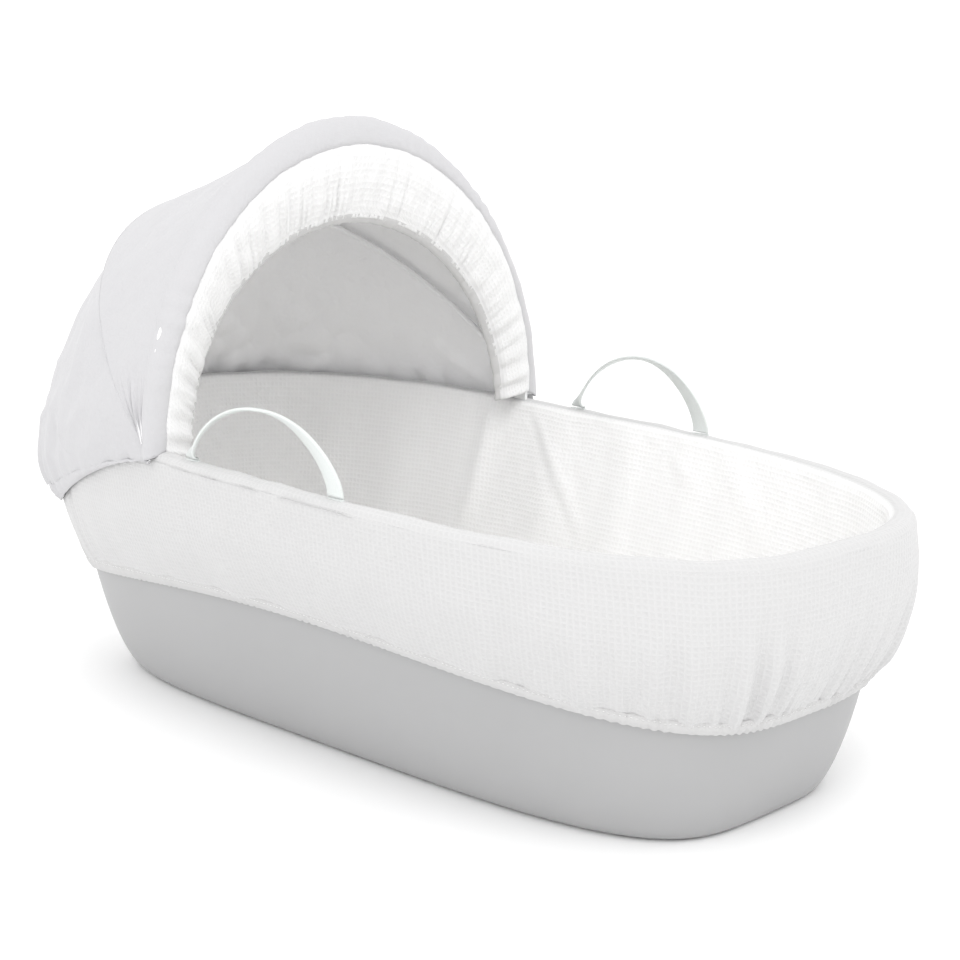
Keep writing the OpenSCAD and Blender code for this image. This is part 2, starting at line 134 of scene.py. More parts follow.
# Cloth
WAFFLE_PITCH = 0.0046
CLOTH_T = 0.0011


# ---- Shapes ----

def oval(a, b, n, t):
    """Points of a squared oval with half sizes a and b and squareness n, at angles t."""
    k = (np.abs(np.cos(t)) ** n + np.abs(np.sin(t)) ** n) ** (-1 / n)
    return a * np.cos(t) * k, b * np.sin(t) * k


def rim_z(x):
    """Height of the dressed rim at place x."""
    return RIM_H - RIM_RISE * x / RIM_HALF_L - RIM_CURVE * (x / RIM_HALF_L) ** 2


def hem_z(x):
    """Height of the skirt's hem at place x."""
    return HEM_H - HEM_DROP * (x / RIM_HALF_L) ** 2


def fullness(x):
    """How full the skirt is at place x: fuller at the foot end than at the head end."""
    return 0.93 + 0.19 * x / RIM_HALF_L


def wall(t, z, off):
    """Points of the tub's outer wall at angles t and heights z, moved out by off."""
    flare = (np.clip(z, 0, None) / FLARE_H) ** FLARE_POWER
    square = BASE_SQUARE + (RIM_SQUARE - BASE_SQUARE) * z / FLARE_H
    x, y = oval(BASE_HALF_L + FLARE_L * flare + off, BASE_HALF_W + FLARE_W * flare + off, square, t)
    return np.stack([x, y, z + 0 * x], -1)


def catmull(knots, count):
    """A smooth curve through the knots, one row each, as count rows."""
    k = np.asarray(knots, float)
    ends = np.vstack([2 * k[0] - k[1], k, 2 * k[-1] - k[-2]])
    s = np.linspace(0, len(k) - 1, count)
    i = np.minimum(s.astype(int), len(k) - 2)
    f = (s - i)[:, None]
    p0, p1, p2, p3 = (ends[i + j] for j in range(4))
    return 0.5 * (2 * p1 + (p2 - p0) * f + (2 * p0 - 5 * p1 + 4 * p2 - p3) * f ** 2
                  + (3 * p1 - p0 - 3 * p2 + p3) * f ** 3)


def ease(low, high, x):
    """0 below low, 1 above high and smooth in between. It falls instead where low is above high."""
    s = np.clip((x - low) / (high - low), 0, 1)
    return s * s * (3 - 2 * s)


def ripple(turn, waves, seed, spread=0.35):
    """A smooth random wave with about waves crests in one turn, mostly from -1 to 1."""
    rng = np.random.RandomState(seed)
    low, high = int(waves * (1 - spread)), int(waves * (1 + spread)) + 1
    total = 0
    for count, phase in zip(rng.randint(low, high, 9), rng.uniform(0, 2 * np.pi, 9)):
        total = total + np.sin(2 * np.pi * count * turn + phase)
    return total / 3


def crumple(points, pitch, seed, stretch=(1, 1, 1)):
    """Smooth random lumps about pitch apart, mostly from -1 to 1, drawn out along the axes by stretch."""
    rng = np.random.RandomState(seed)
    total = 0
    for _ in range(12):
        way = rng.normal(size=3)
        way *= 2 * np.pi / (pitch * rng.uniform(0.7, 1.6) * np.linalg.norm(way))
        total = total + np.sin(points @ (way / np.array(stretch)) + rng.uniform(0, 2 * np.pi))
    return total / 3.5


def crease(points, start, end, width, depth):
    """A soft crease from start to end that fades at both: how far each point moves along its normal."""
    start, end = np.array(start), np.array(end)
    along = end - start
    s = np.clip((points - start) @ along / (along @ along), 0, 1)
    away = np.linalg.norm(points - (start + s[..., None] * along), axis=-1)
    return depth * np.exp(-(away / width) ** 2) * np.sin(np.pi * s) ** 0.7


def unit(v):
    return v / np.maximum(np.linalg.norm(v, axis=-1, keepdims=True), 1e-12)


def grid_normals(points, around):
    """Unit normals of a grid of points, rows by columns. around says that the columns close on themselves."""
    if around:
        across = np.roll(points, -1, 1) - np.roll(points, 1, 1)
    else:
        across = np.gradient(points, axis=1)
    return unit(np.cross(across, np.gradient(points, axis=0)))


def turn_share(row):
    """How far round a closed row of points each point is, from 0 to 1, by length."""
    steps = np.linalg.norm(np.roll(row, -1, 0) - row, axis=-1)
    return np.concatenate([[0], np.cumsum(steps)[:-1]]) / steps.sum()


# ---- Meshes ----

def cloth_lengths(points, around):
    """Where each grid point lies on its cloth, in metres. A closed grid has one more column."""
    grid = np.concatenate([points, points[:, :1]], 1) if around else points
    across = np.linalg.norm(np.diff(grid, axis=1), axis=-1)
    across = np.concatenate([np.zeros((len(grid), 1)), np.cumsum(across, 1)], 1)
    if around:
        across = np.repeat(across[len(across) // 2][None], len(grid), 0)
    else:
        across = across - across[:, -1:] / 2
    along = np.linalg.norm(np.diff(grid, axis=0), axis=-1).mean(1)
    along = np.repeat(np.concatenate([[0], np.cumsum(along)])[:, None], grid.shape[1], 1)
    return np.stack([across, along, 0 * along], -1)


def add_piece(name, verts, faces, material):
    mesh = bpy.data.meshes.new(name)
    mesh.from_pydata([tuple(v) for v in verts], [], [tuple(f) for f in faces])
    mesh.polygons.foreach_set("use_smooth", [True] * len(mesh.polygons))
    mesh.materials.append(material)
    piece = bpy.data.objects.new(name, mesh)
    bpy.context.scene.collection.objects.link(piece)
    return piece


def grid_piece(name, points, material, around=False, caps=False, thick=0.0, loop=False,
               inner=None, side=None):
    """A smooth mesh from a grid of points. around closes its columns, loop its rows, and caps its two ends.

    inner is the material of the side that thickening adds. side says for each row how far it takes the
    waffle's lighter colour, painted light that lifts the shade on the basket's inside, from 0 to 1.
    """
    rows, cols = points.shape[:2]
    k, i = np.meshgrid(np.arange(rows if loop else rows - 1), np.arange(cols if around else cols - 1),
                       indexing="ij")
    k, i = k.ravel(), i.ravel()
    around_face = ((k, i), (k, i + 1), (k + 1, i + 1), (k + 1, i))
    faces = np.stack([(row % rows) * cols + col % cols for row, col in around_face], 1)
    lengths = cloth_lengths(points, around)
    last = np.minimum(k + 1, rows - 1)
    corners = np.stack([lengths[k, i], lengths[k, i + 1], lengths[last, i + 1], lengths[last, i]], 1)
    corners = corners.reshape(-1, 3)
    faces = [tuple(f) for f in faces.tolist()]
    if caps:
        faces += [tuple(range(cols))[::-1], tuple(range((rows - 1) * cols, rows * cols))]
        corners = np.concatenate([corners, lengths[0, :cols][::-1], lengths[-1, :cols]])
    piece = add_piece(name, points.reshape(-1, 3), faces, material)
    if side is not None:
        corners[:len(k) * 4, 2] = np.stack([side[k], side[k], side[last], side[last]], 1).ravel()
    cloth = piece.data.attributes.new("cloth", "FLOAT_VECTOR", "CORNER")
    cloth.data.foreach_set("vector", corners.astype(np.float32).ravel())
    if thick:
        solid = piece.modifiers.new("Thickness", "SOLIDIFY")
        solid.thickness = thick
        solid.offset = -1
        if inner:
            piece.data.materials.append(inner)
            solid.material_offset = 1
    return piece


def tube_points(path, radius, sides=12, side_way=(0, 0, 1)):
    """Rings of points round a path. side_way is a direction square to all of it, such as an arch's axis."""
    path = np.asarray(path, float)
    along = unit(np.gradient(path, axis=0))
    side = np.broadcast_to(np.array(side_way, float), path.shape)
    side = unit(side - along * np.sum(side * along, -1, keepdims=True))
    other = np.cross(along, side)
    a = np.arange(sides) * 2 * np.pi / sides
    ring = side[:, None] * np.cos(a)[None, :, None] + other[:, None] * np.sin(a)[None, :, None]
    return path[:, None] + ring * np.reshape(radius, (-1, 1, 1))


def stitches(name, path, out, material, pitch=0.0042, length=0.0029, thick=0.00032):
    """A row of thread stitches along a path. out is which way the cloth faces at each point of it."""
    path, out = np.asarray(path), np.asarray(out)
    steps = np.concatenate([[0], np.cumsum(np.linalg.norm(np.diff(path, axis=0), axis=-1))])
    count = int(steps[-1] / pitch)
    verts, faces = [], []
    for n in range(count):
        s = (n + 0.5) * steps[-1] / count
        p = np.array([np.interp(s, steps, path[:, j]) for j in range(3)])
        q = np.array([np.interp(min(s + 0.001, steps[-1]), steps, path[:, j]) for j in range(3)])
        face_way = np.array([np.interp(s, steps, out[:, j]) for j in range(3)])
        along = unit(q - p) if np.linalg.norm(q - p) > 1e-9 else np.array([1.0, 0, 0])
        face_way = unit(face_way - along * (face_way @ along))
        side = np.cross(along, face_way)
        base = len(verts)
        verts += [p - along * length / 2, p + along * length / 2]
        verts += [p + side * thick, p + face_way * thick * 1.3, p - side * thick, p - face_way * thick]
        for j in range(4):
            a, b = base + 2 + j, base + 2 + (j + 1) % 4
            faces += [(base, b, a), (base + 1, a, b)]
    return add_piece(name, verts, faces, material)


# ---- Materials ----

class Recipe:
    """A short way to write one material's nodes."""

    def __init__(self, name):
        self.material = bpy.data.materials.new(name)
        self.material.use_nodes = True
        self.tree = self.material.node_tree
        self.shader = self.tree.nodes["Principled BSDF"]

    def add(self, kind, inputs=None, **settings):
        made = self.tree.nodes.new(kind)
        for key, value in settings.items():
            setattr(made, key, value)
        for key, value in (inputs or {}).items():
            self.put(made.inputs[key], value)
        return made

    def put(self, socket, value):
        if isinstance(value, bpy.types.NodeSocket):
            self.tree.links.new(value, socket)
        else:
            socket.default_value = value

    def maths(self, operation, a, b=0.0):
        return self.add("ShaderNodeMath", {0: a, 1: b}, operation=operation).outputs[0]

    def noise(self, where, scale, detail=3.0, rough=0.5):
        made = self.add("ShaderNodeTexNoise", {"Scale": scale, "Detail": detail, "Roughness": rough})
        if where is not None:
            self.put(made.inputs["Vector"], where)
        return made.outputs["Fac"]

    def mix(self, share, a, b):
        made = self.add("ShaderNodeMix", data_type="RGBA")
        self.put(made.inputs["Factor"], share)
        for socket, value in zip([s for s in made.inputs if s.type == "RGBA"], (a, b)):
            self.put(socket, value)
        return [s for s in made.outputs if s.type == "RGBA"][0]

    def bump(self, height, strength, distance, after=None):
        made = self.add("ShaderNodeBump", {"Height": height, "Strength": strength, "Distance": distance})
        if after is not None:
            self.put(made.inputs["Normal"], after)
        return made.outputs["Normal"]

    def finish(self, color, rough, normal, **plain):
        self.put(self.shader.inputs["Base Color"], color)
        self.put(self.shader.inputs["Roughness"], rough)
        self.put(self.shader.inputs["Normal"], normal)
        for key, value in plain.items():
            self.shader.inputs[key.replace("_", " ")].default_value = value
        return self.material

    def cloth(self):
        """Places on the cloth, in metres across and along, the share of the lighter colour painted on as light
        inside the basket, and all three together.
        """
        where = self.add("ShaderNodeAttribute", attribute_name="cloth").outputs["Vector"]
        parts = self.add("ShaderNodeSeparateXYZ", {0: where})
        return parts.outputs[0], parts.outputs[1], parts.outputs[2], where

    def wave(self, place, pitch):
        """0 in the middle of each cell of that pitch and 1 at its edges."""
        inside = self.maths("FRACT", self.maths("DIVIDE", place, pitch))
        return self.maths("MULTIPLY", self.maths("ABSOLUTE", self.maths("SUBTRACT", inside, 0.5)), 2.0)


def rgb(r, g, b):
    return (r, g, b, 1.0)


def waffle_cloth():
    """Honeycomb weave: sunk cells with raised edges of thicker yarn."""
    r = Recipe("waffle")
    across, along, painted_light_share, where = r.cloth()
    place = r.add("ShaderNodeNewGeometry").outputs["Position"]
    drift = r.maths("MULTIPLY", r.maths("SUBTRACT", r.noise(place, 22.0, 2.0), 0.5), 0.004)
    cell_across = r.wave(r.maths("ADD", across, drift), WAFFLE_PITCH)
    cell_along = r.wave(r.maths("ADD", along, drift), WAFFLE_PITCH)
    ridge = r.maths("POWER", r.maths("MAXIMUM", cell_across, cell_along), 1.6)
    yarn = r.noise(where, 1900.0, 2.0, 0.6)
    soft = r.noise(place, 75.0, 3.0)
    height = r.maths("ADD", r.maths("MULTIPLY", ridge, 0.8), r.maths("MULTIPLY", yarn, 0.2))
    normal = r.bump(height, 0.55, 0.0009, r.bump(soft, 0.25, 0.0035))
    # Painted shade in the weave: the sunk cell middles are darker and the raised edges lighter. The yarn noise
    # adds random tone.
    shade = r.maths("MULTIPLY", r.maths("ADD", ridge, yarn), 0.5)
    # One white cloth in two copies: a shaded copy for the outside and a lit copy for the inside. This is
    # painted light that lifts the shade inside the basket and tones down the brightly lit skirt.
    outside = r.mix(shade, rgb(0.555, 0.552, 0.553), rgb(0.64, 0.637, 0.638))
    inside = r.mix(shade, rgb(0.90, 0.898, 0.90), rgb(0.96, 0.958, 0.96))
    color = r.mix(painted_light_share, outside, inside)
    return r.finish(color, 0.92, normal, Sheen_Weight=0.25, Sheen_Roughness=0.6, Specular_IOR_Level=0.25)


def plain_cotton(name, light, dark, crinkle=0.3):
    """Fine plain weave that is a little crinkled."""
    r = Recipe(name)
    across, along = r.cloth()[:2]
    place = r.add("ShaderNodeNewGeometry").outputs["Position"]
    weft = r.wave(across, 0.0011)
    warp = r.wave(along, 0.0011)
    weave = r.maths("MULTIPLY", r.maths("ADD", weft, warp), 0.5)
    slub = r.noise(place, 900.0, 2.0, 0.7)
    soft = r.noise(place, 48.0, 4.0, 0.55)
    fine = r.noise(place, 160.0, 3.0, 0.6)
    normal = r.bump(soft, crinkle, 0.006)
    normal = r.bump(fine, crinkle, 0.0016, normal)
    normal = r.bump(r.maths("ADD", r.maths("MULTIPLY", weave, 0.6), slub), 0.3, 0.0003, normal)
    color = r.mix(r.maths("MULTIPLY", r.maths("ADD", weave, slub), 0.5), dark, light)
    return r.finish(color, 0.9, normal, Sheen_Weight=0.2, Sheen_Roughness=0.5, Specular_IOR_Level=0.25)


def strap_tape():
    """Smooth flat tape with fine ribs along it."""
    r = Recipe("strap_tape")
    across = r.cloth()[0]
    place = r.add("ShaderNodeNewGeometry").outputs["Position"]
    ribs = r.wave(across, 0.0014)
    grain = r.noise(place, 700.0, 3.0)
    height = r.maths("ADD", r.maths("MULTIPLY", ribs, 0.7), r.maths("MULTIPLY", grain, 0.3))
    color = r.mix(grain, rgb(0.66, 0.695, 0.682), rgb(0.74, 0.765, 0.755))
    return r.finish(color, 0.48, r.bump(height, 0.2, 0.0003), Specular_IOR_Level=0.45)


def moulded(name, dark, light, rough):
    """Satin moulded plastic: a fine spark texture, and faint unevenness from the mould."""
    r = Recipe(name)
    place = r.add("ShaderNodeNewGeometry").outputs["Position"]
    spark = r.noise(place, 1500.0, 2.0, 0.6)
    flow = r.noise(place, 9.0, 3.0)
    normal = r.bump(spark, 0.12, 0.0002, r.bump(flow, 0.05, 0.004))
    gloss = r.maths("ADD", r.maths("MULTIPLY", flow, 0.10), rough - 0.05)
    return r.finish(r.mix(flow, dark, light), gloss, normal, Specular_IOR_Level=0.4)


def bright_steel():
    r = Recipe("bright_steel")
    place = r.add("ShaderNodeNewGeometry").outputs["Position"]
    draw = r.noise(place, 420.0, 4.0, 0.7)
    gloss = r.maths("ADD", r.maths("MULTIPLY", draw, 0.2), 0.22)
    color = r.mix(draw, rgb(0.55, 0.56, 0.58), rgb(0.74, 0.75, 0.77))
    return r.finish(color, gloss, r.bump(draw, 0.1, 0.0002), Metallic=1.0)


def foam():
    r = Recipe("foam_block")
    place = r.add("ShaderNodeNewGeometry").outputs["Position"]
    cells = r.add("ShaderNodeTexVoronoi", {"Scale": 650.0, "Vector": place}).outputs["Distance"]
    color = r.mix(cells, rgb(0.72, 0.68, 0.55), rgb(0.90, 0.87, 0.76))
    return r.finish(color, 0.95, r.bump(cells, 0.5, 0.0008))


waffle = waffle_cloth()
# The hood is one white cotton. The outer face takes a shaded copy, and the copy for the inner face and the bow
# sleeves is painted lighter. This is painted light that lifts the shade inside the hood.
hood_cotton = plain_cotton("hood_cotton", rgb(0.585, 0.58, 0.592), rgb(0.53, 0.527, 0.54))
hood_inside_lit = plain_cotton("hood_inside_lit", rgb(0.97, 0.968, 0.975), rgb(0.93, 0.928, 0.936))
cover_cotton = plain_cotton("cover_cotton", rgb(0.93, 0.93, 0.93), rgb(0.87, 0.87, 0.87), 0.2)
# The binding's grey is painted shade. It is set darker to stand for the shade along the valance's inner hem,
# and the skirt hem and the mattress piping use it too.
binding = plain_cotton("binding", rgb(0.60, 0.596, 0.595), rgb(0.55, 0.546, 0.545), 0.15)
thread = plain_cotton("thread", rgb(0.90, 0.90, 0.895), rgb(0.80, 0.80, 0.80), 0.1)
tape = strap_tape()
grey_shell = moulded("grey_shell", rgb(0.385, 0.385, 0.388), rgb(0.415, 0.415, 0.418), 0.46)
white_fitting = moulded("white_fitting", rgb(0.82, 0.83, 0.83), rgb(0.88, 0.89, 0.89), 0.4)
steel = bright_steel()
foam_block = foam()


# ---- Camera, floor and light ----

def add_camera():
    """Looks at the basket from its foot end's near corner, a little above it."""
    azimuth, elevation, distance = math.radians(44.87), math.radians(10.88), 1.505
    target = Vector((0.0454, 0.0009, 0.2139))
    back = Vector((math.sin(azimuth) * math.cos(elevation), -math.cos(azimuth) * math.cos(elevation),
                   math.sin(elevation)))
    camera = bpy.data.objects.new("camera", bpy.data.cameras.new("camera"))
    bpy.context.scene.collection.objects.link(camera)
    camera.data.lens = 66.8
    camera.data.sensor_width = 36.0
    camera.location = target + distance * back
    camera.rotation_mode = "QUATERNION"
    camera.rotation_quaternion = (-back).to_track_quat("-Z", "Y")
    bpy.context.scene.camera = camera


def add_light(name, place, target, size, watts):
    light = bpy.data.lights.new(name, "AREA")
    light.shape = "DISK"
    light.size = size
    light.energy = watts
    lamp = bpy.data.objects.new(name, light)
    lamp.location = place
    lamp.rotation_mode = "QUATERNION"
    lamp.rotation_quaternion = (Vector(target) - Vector(place)).to_track_quat("-Z", "Y")
    bpy.context.scene.collection.objects.link(lamp)


def add_studio():
    scene = bpy.context.scene
    scene.view_settings.view_transform = "Standard"
    scene.view_settings.look = "None"
    world = bpy.data.worlds.new("studio")
    scene.world = world
    world.use_nodes = True
    world.node_tree.nodes["Background"].inputs["Color"].default_value = rgb(1.0, 1.0, 1.0)
    world.node_tree.nodes["Background"].inputs["Strength"].default_value = 1.25
    add_light("front", (1.2, -2.1, 1.6), (0.0, 0.0, 0.25), 1.8, 5.0)
    add_light("inside", (1.2, -0.8, 2.3), (-0.10, 0.0, 0.2), 1.0, 9.0)
    r = Recipe("floor")
    place = r.add("ShaderNodeNewGeometry").outputs["Position"]
    grain = r.noise(place, 3.0, 2.0)
    r.finish(r.mix(grain, rgb(0.985, 0.985, 0.985), rgb(0.995, 0.995, 0.995)), 0.9, r.bump(grain, 0.02, 0.01))
    half = 12.0
    flat = np.array([[(-half, -half, 0), (half, -half, 0)], [(-half, half, 0), (half, half, 0)]], float)
    grid_piece("floor", flat - [0, 0, 0.0005], r.material)


# ---- Tub ----

def build_tub():
    """The whole moulded shell: underside, outer wall, flange with its lip, inner wall and floor."""
    t = np.arange(540) * 2 * np.pi / 540
    x = oval(RIM_HALF_L, RIM_HALF_W, RIM_SQUARE, t)[0]
    flange = rim_z(x) - ROLL_H

    def ring(off, share, drop=0.0):
        return wall(t, flange * share - drop, off)

    def flat(z, off):
        return wall(t, z + 0 * t, off)

    rings = [flat(0.0, 0.0) * [s, s, 1] for s in (0.02, 0.35, 0.7, 0.92, 0.98)]
    rings += [flat(0.0, -0.004), flat(0.0006, -0.0008)]
    mid = RIM_H - ROLL_H
    rings += [ring(0.0, h / mid) for h in (0.002, 0.004, 0.007, 0.011, 0.017, 0.025, 0.035, 0.048)]
    rings += [ring(0.0, h / mid) for h in np.linspace(0.062, 0.228, 14)]
    step = 0.004
    lip = FLANGE_W - TUB_WALL
    rings += [ring(0.0, 1, step), ring(0.0004, 1, step), ring(FLANGE_W - 0.0034, 1, step), ring(lip, 1, 0.0044)]
    rings += [ring(lip, 1, 0.0088), ring(FLANGE_W - 0.0026, 1, 0.009), ring(FLANGE_W - 0.0004, 1, 0.009)]
    rings += [ring(FLANGE_W, 1, 0.0086), ring(FLANGE_W, 1, 0.0025), ring(FLANGE_W - 0.0007, 1, 0.0008)]
    rings += [ring(FLANGE_W - 0.0022, 1, 0), ring(0.0, 1, 0), ring(-0.0022, 1, 0), ring(-TUB_WALL, 1, 0.0009)]
    rings += [ring(-TUB_WALL, h / mid) for h in np.linspace(0.228, 0.012, 16)]
    rings += [flat(0.006, -0.004), flat(0.0038, -0.005), flat(0.003, -0.0068)]
    rings += [flat(0.003, 0.0) * [s, s, 1] for s in (0.9, 0.6, 0.3, 0.02)]
    tub = grid_piece("tub", np.array(rings), grey_shell, around=True, caps=True)
    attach(tub, "tub")
    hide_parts("tub_shell")


# ---- Dressing ----

ROUND = 900
round_t = np.arange(ROUND) * 2 * np.pi / ROUND
round_x = oval(RIM_HALF_L, RIM_HALF_W, RIM_SQUARE, round_t)[0]


def dress_rows(knots, count):
    """Rings of the dressing. Each knot is its distance out from the wall, its shares of the rim's and the
    hem's height, and its rise.
    """
    rows = catmull(knots, count)
    off, rim_share, hem_share, rise = (rows[:, j, None] for j in range(4))
    pressed = 0.0004 * np.exp(-((round_x - hinge[0]) / 0.045) ** 2)
    pressed += 0.0012 * np.exp(-((round_x + 0.03) / 0.06) ** 2)
    z = rim_z(round_x) * rim_share + hem_z(round_x) * hem_share + rise
    z = z - pressed * ease(0.93, 1.0, rim_share)
    full = np.where(hem_share > 0.001, 1 + (fullness(round_x) - 1) * ease(0, 0.3, hem_share), 1.0)
    return wall(round_t[None], z, off * full), off + 0 * z, hem_share + 0 * z


# The dressing's profile outside the rim, and its hem's
SKIRT = [(0.0134, 0.93, 0.07, 0.001), (0.0148, 0.86, 0.14, 0), (0.0165, 0.70, 0.30, 0), (0.0175, 0.50, 0.50, 0),
         (0.0145, 0.30, 0.70, 0), (0.0095, 0.15, 0.85, 0), (0.0058, 0.07, 0.93, 0),
         (0.0046, 0.04, 0.96, 0), (0.0040, 0.025, 0.975, 0)]
HEM = [(0.0036, 0.085, 0.915, 0), (0.0058, 0.075, 0.925, 0), (0.0064, 0.035, 0.965, 0),
       (0.0044, 0.004, 0.996, 0.0004), (0.0034, 0, 1.0, -0.0004), (0.0022, 0.004, 0.996, 0.0006),
       (0.0018, 0.06, 0.94, 0)]


def end_share(x):
    """0 along the sides and 1 at the two ends."""
    return ease(0.20, 0.37, np.abs(x))


def skirt_folds(points, hem_share, turn):
    """Gathers above the hem at the two ends, and a few soft drag lines along the sides."""
    ends = end_share(round_x)
    fine = ripple(turn, 165, 3) * ease(0.62, 0.95, hem_share)
    broad = ripple(turn, 78, 8) * ease(0.22, 0.7, hem_share) * ease(1.02, 0.85, hem_share)
    sides = ripple(turn, 26, 5) * ease(0.1, 0.6, hem_share)
    lumps = crumple(points, 0.05, 17) * ease(0.02, 0.3, hem_share)
    return (0.0013 * fine + 0.0021 * broad) * (0.12 + 0.88 * ends) + 0.0008 * sides + 0.0005 * lumps


def build_dressing():
    """One cloth: up the wall inside as a lining, over the rim as a soft roll, and down outside as a skirt."""
    lining = [(LINING_OFF, share, 0, 0) for share in (0.045, 0.20, 0.40, 0.60, 0.80, 0.93)]
    roll = [(LINING_OFF, 1, 0, -0.0095), (-0.0052, 1, 0, -0.0040), (-0.0030, 1, 0, -0.0012), (0.0010, 1, 0, 0),
            (0.0060, 1, 0, -0.0003), (0.0100, 1, 0, -0.0022), (0.0126, 1, 0, -0.0058)]
    points, off, hem_share = dress_rows(lining + roll + SKIRT, 140)
    middle_row = 60
    turn = turn_share(points[middle_row])
    inside = ease(-0.002, -0.0055, off)
    height = points[..., 2] / rim_z(round_x)
    soft = ripple(turn, 30, 21) * 0.0011 + crumple(points, 0.085, 31, (1, 1, 2.2)) * 0.0012
    shift = skirt_folds(points, hem_share, turn)
    shift += inside * soft * ease(1.0, 0.9, height) * ease(0.05, 0.3, height)
    shift += crumple(points, 0.06, 77) * 0.0005 * (1 - inside) * ease(0.06, 0.0, hem_share)
    for start, end, width, depth in WALL_CREASES:
        shift += inside * crease(points, start, end, width, depth)
    shift = np.where(inside > 0.001, np.clip(shift, -0.0012, 0.006), shift)
    normals = -grid_normals(points, True)
    # side paints the lining with the waffle's lighter colour, painted light for the shade inside the basket.
    cloth = grid_piece("dressing", (points + normals * shift[..., None])[::-1], waffle, around=True,
                       thick=CLOTH_T, side=inside.mean(1)[::-1])
    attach(cloth, "tub")
    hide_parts("dressing_lining", "dressing_rim_roll", "dressing_skirt")
    hem = build_hem(turn)


def build_hem(turn):
    """The narrow casing that holds the skirt's elastic."""
    points, _, hem_share = dress_rows(HEM, 22)
    ends = end_share(round_x)
    gather = ripple(turn, 165, 3) * 0.0011 * (0.12 + 0.88 * ends) * ease(1.0, 0.93, hem_share)
    shift = gather + ripple(turn, 240, 4) * 0.0004
    normals = -grid_normals(points, True)
    # The casing takes the grey binding, whose colour is painted shade.
    hem = grid_piece("skirt_hem", (points + normals * shift[..., None])[::-1], binding, around=True,
                     thick=0.0006)
    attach(hem, "tub")
    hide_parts("skirt_hem_elastic")
    row = 5
    out = np.concatenate([normals[row], normals[row][:1]])
    lift = np.append(shift[row] + 0.0001, shift[row, 0])
    loop = np.concatenate([points[row], points[row][:1]]) + out * lift[:, None]
    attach(stitches("skirt_hem_stitches", loop, out, thread), "tub")
    return hem


# Creases on the inside of the walls: two ends, width and depth
WALL_CREASES = [
    ((-0.135, 0.206, 0.245), (-0.151, 0.174, 0.113), 0.011, 0.0042),
    ((-0.096, 0.205, 0.237), (-0.005, 0.178, 0.121), 0.007, -0.0022),
    ((-0.088, 0.205, 0.237), (0.004, 0.178, 0.121), 0.008, 0.0026),
    ((-0.024, 0.199, 0.202), (0.014, 0.192, 0.174), 0.006, 0.0016),
    ((0.055, 0.206, 0.234), (0.130, 0.194, 0.190), 0.007, 0.0018),
    ((0.150, 0.200, 0.225), (0.215, 0.175, 0.150), 0.010, 0.0016)]


def build_floor_panel():
    low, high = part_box("dressing_floor")
    a, b = high.x, high.y
    t = np.arange(240) * 2 * np.pi / 240
    rows = []
    for share, z in ((0.02, low.z), (0.5, low.z), (0.97, low.z), (0.995, low.z + 0.0003),
                     (1.0, (low.z + high.z) / 2), (0.995, high.z - 0.0003), (0.97, high.z), (0.5, high.z),
                     (0.02, high.z)):
        x, y = oval(a * share, b * share, 3.6, t)
        rows.append(np.stack([x, y, z + 0 * x], -1))
    # side paints the whole panel in the waffle's lighter colour, painted light.
    panel = grid_piece("floor_panel", np.array(rows), waffle, around=True, caps=True, side=np.ones(len(rows)))
    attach(panel, "tub")
    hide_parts("dressing_floor")


# ---- Mattress ----

def inflate(piece, pressure, cap):
    """Swells a closed mesh like a stuffed cover by cloth simulation, moving no point further than cap."""
    mesh = piece.data
    before = np.array([v.co for v in mesh.vertices])
    cloth = piece.modifiers.new("Cloth", "CLOTH")
    cloth.settings.quality = 6
    cloth.settings.mass = 0.3
    cloth.settings.tension_stiffness = 12
    cloth.settings.compression_stiffness = 12
    cloth.settings.bending_stiffness = 0.6
    cloth.settings.use_pressure = True
    cloth.settings.uniform_pressure_force = pressure
    cloth.settings.effector_weights.gravity = 0
    cloth.point_cache.frame_start = 1
    cloth.point_cache.frame_end = 20
    scene = bpy.context.scene
    for number in range(1, 21):
        scene.frame_set(number)
    settled = piece.evaluated_get(bpy.context.evaluated_depsgraph_get()).data
    after = np.array([v.co for v in settled.vertices])
    piece.modifiers.remove(cloth)
    scene.frame_set(1)
    move = after - before
    far = np.linalg.norm(move, axis=1, keepdims=True)
    move *= np.minimum(1, cap / np.maximum(far, 1e-9))
    mesh.vertices.foreach_set("co", (before + move).ravel())
    mesh.update()


